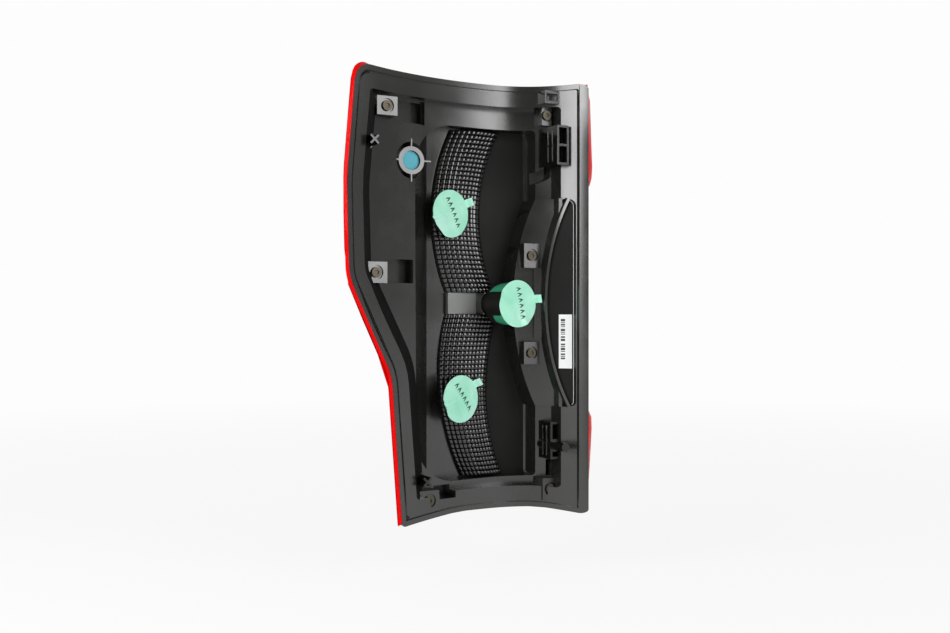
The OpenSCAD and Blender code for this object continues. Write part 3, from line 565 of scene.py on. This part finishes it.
def bracket_ribs(name, node, near_y, far_y):
    """Two upright ribs and a cross rib on the side face of a bracket, the uprights at near_y and far_y, in mm
    from the crown."""
    low, high = (Vector(corner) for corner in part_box(node))
    near, far = spot(0, near_y, 0).y, spot(0, far_y, 0).y
    upright, cross = high.z - low.z - 2 * RIB_SHORT * MM, far - near + 2 * RIB_PAST * MM
    ribs = []
    for y, length, turn in ((near, upright, 0), (far, upright, 0), ((near + far) / 2, cross, math.pi / 2)):
        bpy.ops.object.select_all(action="DESELECT")
        bpy.ops.mesh.primitive_cylinder_add(vertices=24, radius=RIB_R * MM, depth=length, rotation=(turn, 0, 0),
                                            location=(low.x + RIB_SUNK * MM, y, (low.z + high.z) / 2))
        bpy.ops.object.transform_apply()
        rib = bpy.context.object
        ends = rib.modifiers.new("round ends", "BEVEL")
        ends.width, ends.segments = RIB_ROUND * MM, 3
        bpy.ops.object.modifier_apply(modifier=ends.name)
        ribs.append(rib)
    one_piece(name, ribs, 0, bracket_nylon, "bracket_black", smooth=50)


bracket_ribs("upper_bracket_ribs", "upper_bracket", -28.7, -20.5)
bracket_ribs("lower_bracket_ribs", "lower_bracket", -19.5, -12.5)


# The label's bars, from the top down: the height of each and of the gap below it, in modules
BARS = ((3, 1), (1, 1), (2, 1), (1, 2), (3, 1), (1, 1), (1, 2), (2, 1), (3, 3), (2, 1), (1, 1), (3, 1), (1, 2),
        (2, 1), (1, 1), (2, 1))
# The height of a module, the bars' side edge, width and top, and the depth of the label's face, in mm
MODULE, BARS_X, BARS_W, BARS_TOP, LABEL_D = 0.84, 66.8, 3.0, -22.0, 2.58


def label_bars():
    """A column of dark bars of uneven height near the label's side edge, which say nothing."""
    sheets, z = [], BARS_TOP
    for height, gap in BARS:
        def on_label(u, v, low=z, high=height * MODULE):
            x = BARS_X + BARS_W * u
            return spot(x, arch_y(x, LABEL_D), low - high + high * v)
        sheets.append(sheet(3, 1, on_label))
        z -= (height + gap) * MODULE
    one_piece("label_bars", sheets, PRINT_T, print_ink, "label_white")


label_bars()


def pale_floor():
    """A white table below the lamp, which keeps the lamp's shadow."""
    drop = 60 * MM
    bpy.ops.mesh.primitive_plane_add(size=30, location=(0, 0, cad_low.z - drop))
    floor = bpy.context.object
    floor.name = "pale_floor"
    made, tree, shader = blank("white_table_card")
    shader.inputs["Base Color"].default_value = linear("f4f4f4")
    shader.inputs["Roughness"].default_value = 0.9
    ray = add(tree, "LightPath").outputs
    seen = add(tree, "Math", {0: ray["Is Camera Ray"], 1: ray["Is Glossy Ray"]}, operation="MAXIMUM")
    seen = add(tree, "Math", {0: seen.outputs[0], 1: ray["Is Transmission Ray"]}, operation="MAXIMUM")
    place = add(tree, "VectorMath", {0: add(tree, "TexCoord").outputs["Object"]}, operation="LENGTH")
    whole = add(tree, "MapRange", {"Value": place.outputs["Value"], "From Min": 0.3, "From Max": 2.5,
                                   "To Min": 0.88, "To Max": 1.0})
    share = add(tree, "Math", {0: seen.outputs[0], 1: whole.outputs[0]}, operation="MULTIPLY")
    glow = add(tree, "Emission", {"Color": linear("fdfdfd"), "Strength": 1.0})
    mix = add(tree, "MixShader", {0: share.outputs[0], 1: shader.outputs[0], 2: glow.outputs[0]})
    tree.links.new(mix.outputs[0], tree.nodes["Material Output"].inputs["Surface"])
    floor.data.materials.append(made)


def studio_world():
    """White backdrop behind the lamp, and a dim room before it that is darkest where the camera stands."""
    world = bpy.data.worlds.new("studio")
    bpy.context.scene.world = world
    world.use_nodes = True
    tree = world.node_tree
    ray = add(tree, "LightPath").outputs
    way = add(tree, "TexCoord").outputs["Generated"]
    towards = add(tree, "VectorMath", {0: way, 1: (-0.225, -0.974, 0.0)}, operation="DOT_PRODUCT")
    room = add(tree, "MapRange", {"Value": towards.outputs["Value"], "From Min": 0.86, "From Max": 0.96,
                                  "To Min": 0.32, "To Max": 0.08})
    split = add(tree, "SeparateXYZ", {0: way})
    behind = add(tree, "MapRange", {"Value": split.outputs["Y"], "From Min": -0.25, "From Max": 0.1})
    backed = add(tree, "Mix", {0: behind.outputs[0], 2: room.outputs[0], 3: 1.0})
    mirrored = add(tree, "Math", {0: ray["Is Glossy Ray"], 1: ray["Is Transmission Ray"]},
                   operation="MAXIMUM")
    seen = add(tree, "Mix", {0: mirrored.outputs[0], 2: 0.28, 3: backed.outputs[0]})
    strength = add(tree, "Mix", {0: ray["Is Camera Ray"], 2: seen.outputs[0], 3: 1.0})
    back = tree.nodes["Background"]
    back.inputs["Color"].default_value = linear("fdfdfd")
    tree.links.new(strength.outputs[0], back.inputs["Strength"])


def softbox(name, azimuth, height, distance, size, radiance):
    """A soft box that faces the lamp. Azimuth 0 is the vehicle's side and 90 the rear edge's."""
    centre = (cad_low + cad_high) / 2
    a = math.radians(azimuth)
    way = Vector((math.sin(a), -math.cos(a), 0))
    light = bpy.data.lights.new(name, "AREA")
    light.shape = "RECTANGLE"
    light.size, light.size_y = size
    light.energy = radiance * math.pi * size[0] * size[1]
    lamp = bpy.data.objects.new(name, light)
    bpy.context.scene.collection.objects.link(lamp)
    lamp.location = centre + way * distance + Vector((0, 0, height))
    lamp.rotation_euler = (centre - lamp.location).to_track_quat("-Z", "Y").to_euler()


def photo_camera():
    """The photo's viewpoint: level with the lamp, 28 degrees to the left of its back."""
    camera = bpy.data.cameras.new("camera")
    camera.sensor_width = 36
    camera.lens = 42.46
    obj = bpy.data.objects.new("camera", camera)
    bpy.context.scene.collection.objects.link(obj)
    obj.location = spot(-548.5, -996.2, -19.5)
    obj.rotation_euler = (math.pi / 2, 0, math.radians(-28))
    bpy.context.scene.camera = obj


pale_floor()
studio_world()
softbox("left_softbox", -76, 0.38, 1.2, (0.9, 0.7), 7.4)
softbox("right_softbox", 22, 0.38, 1.4, (0.62, 0.9), 5.6)
photo_camera()
bpy.context.scene.view_settings.view_transform = "Standard"
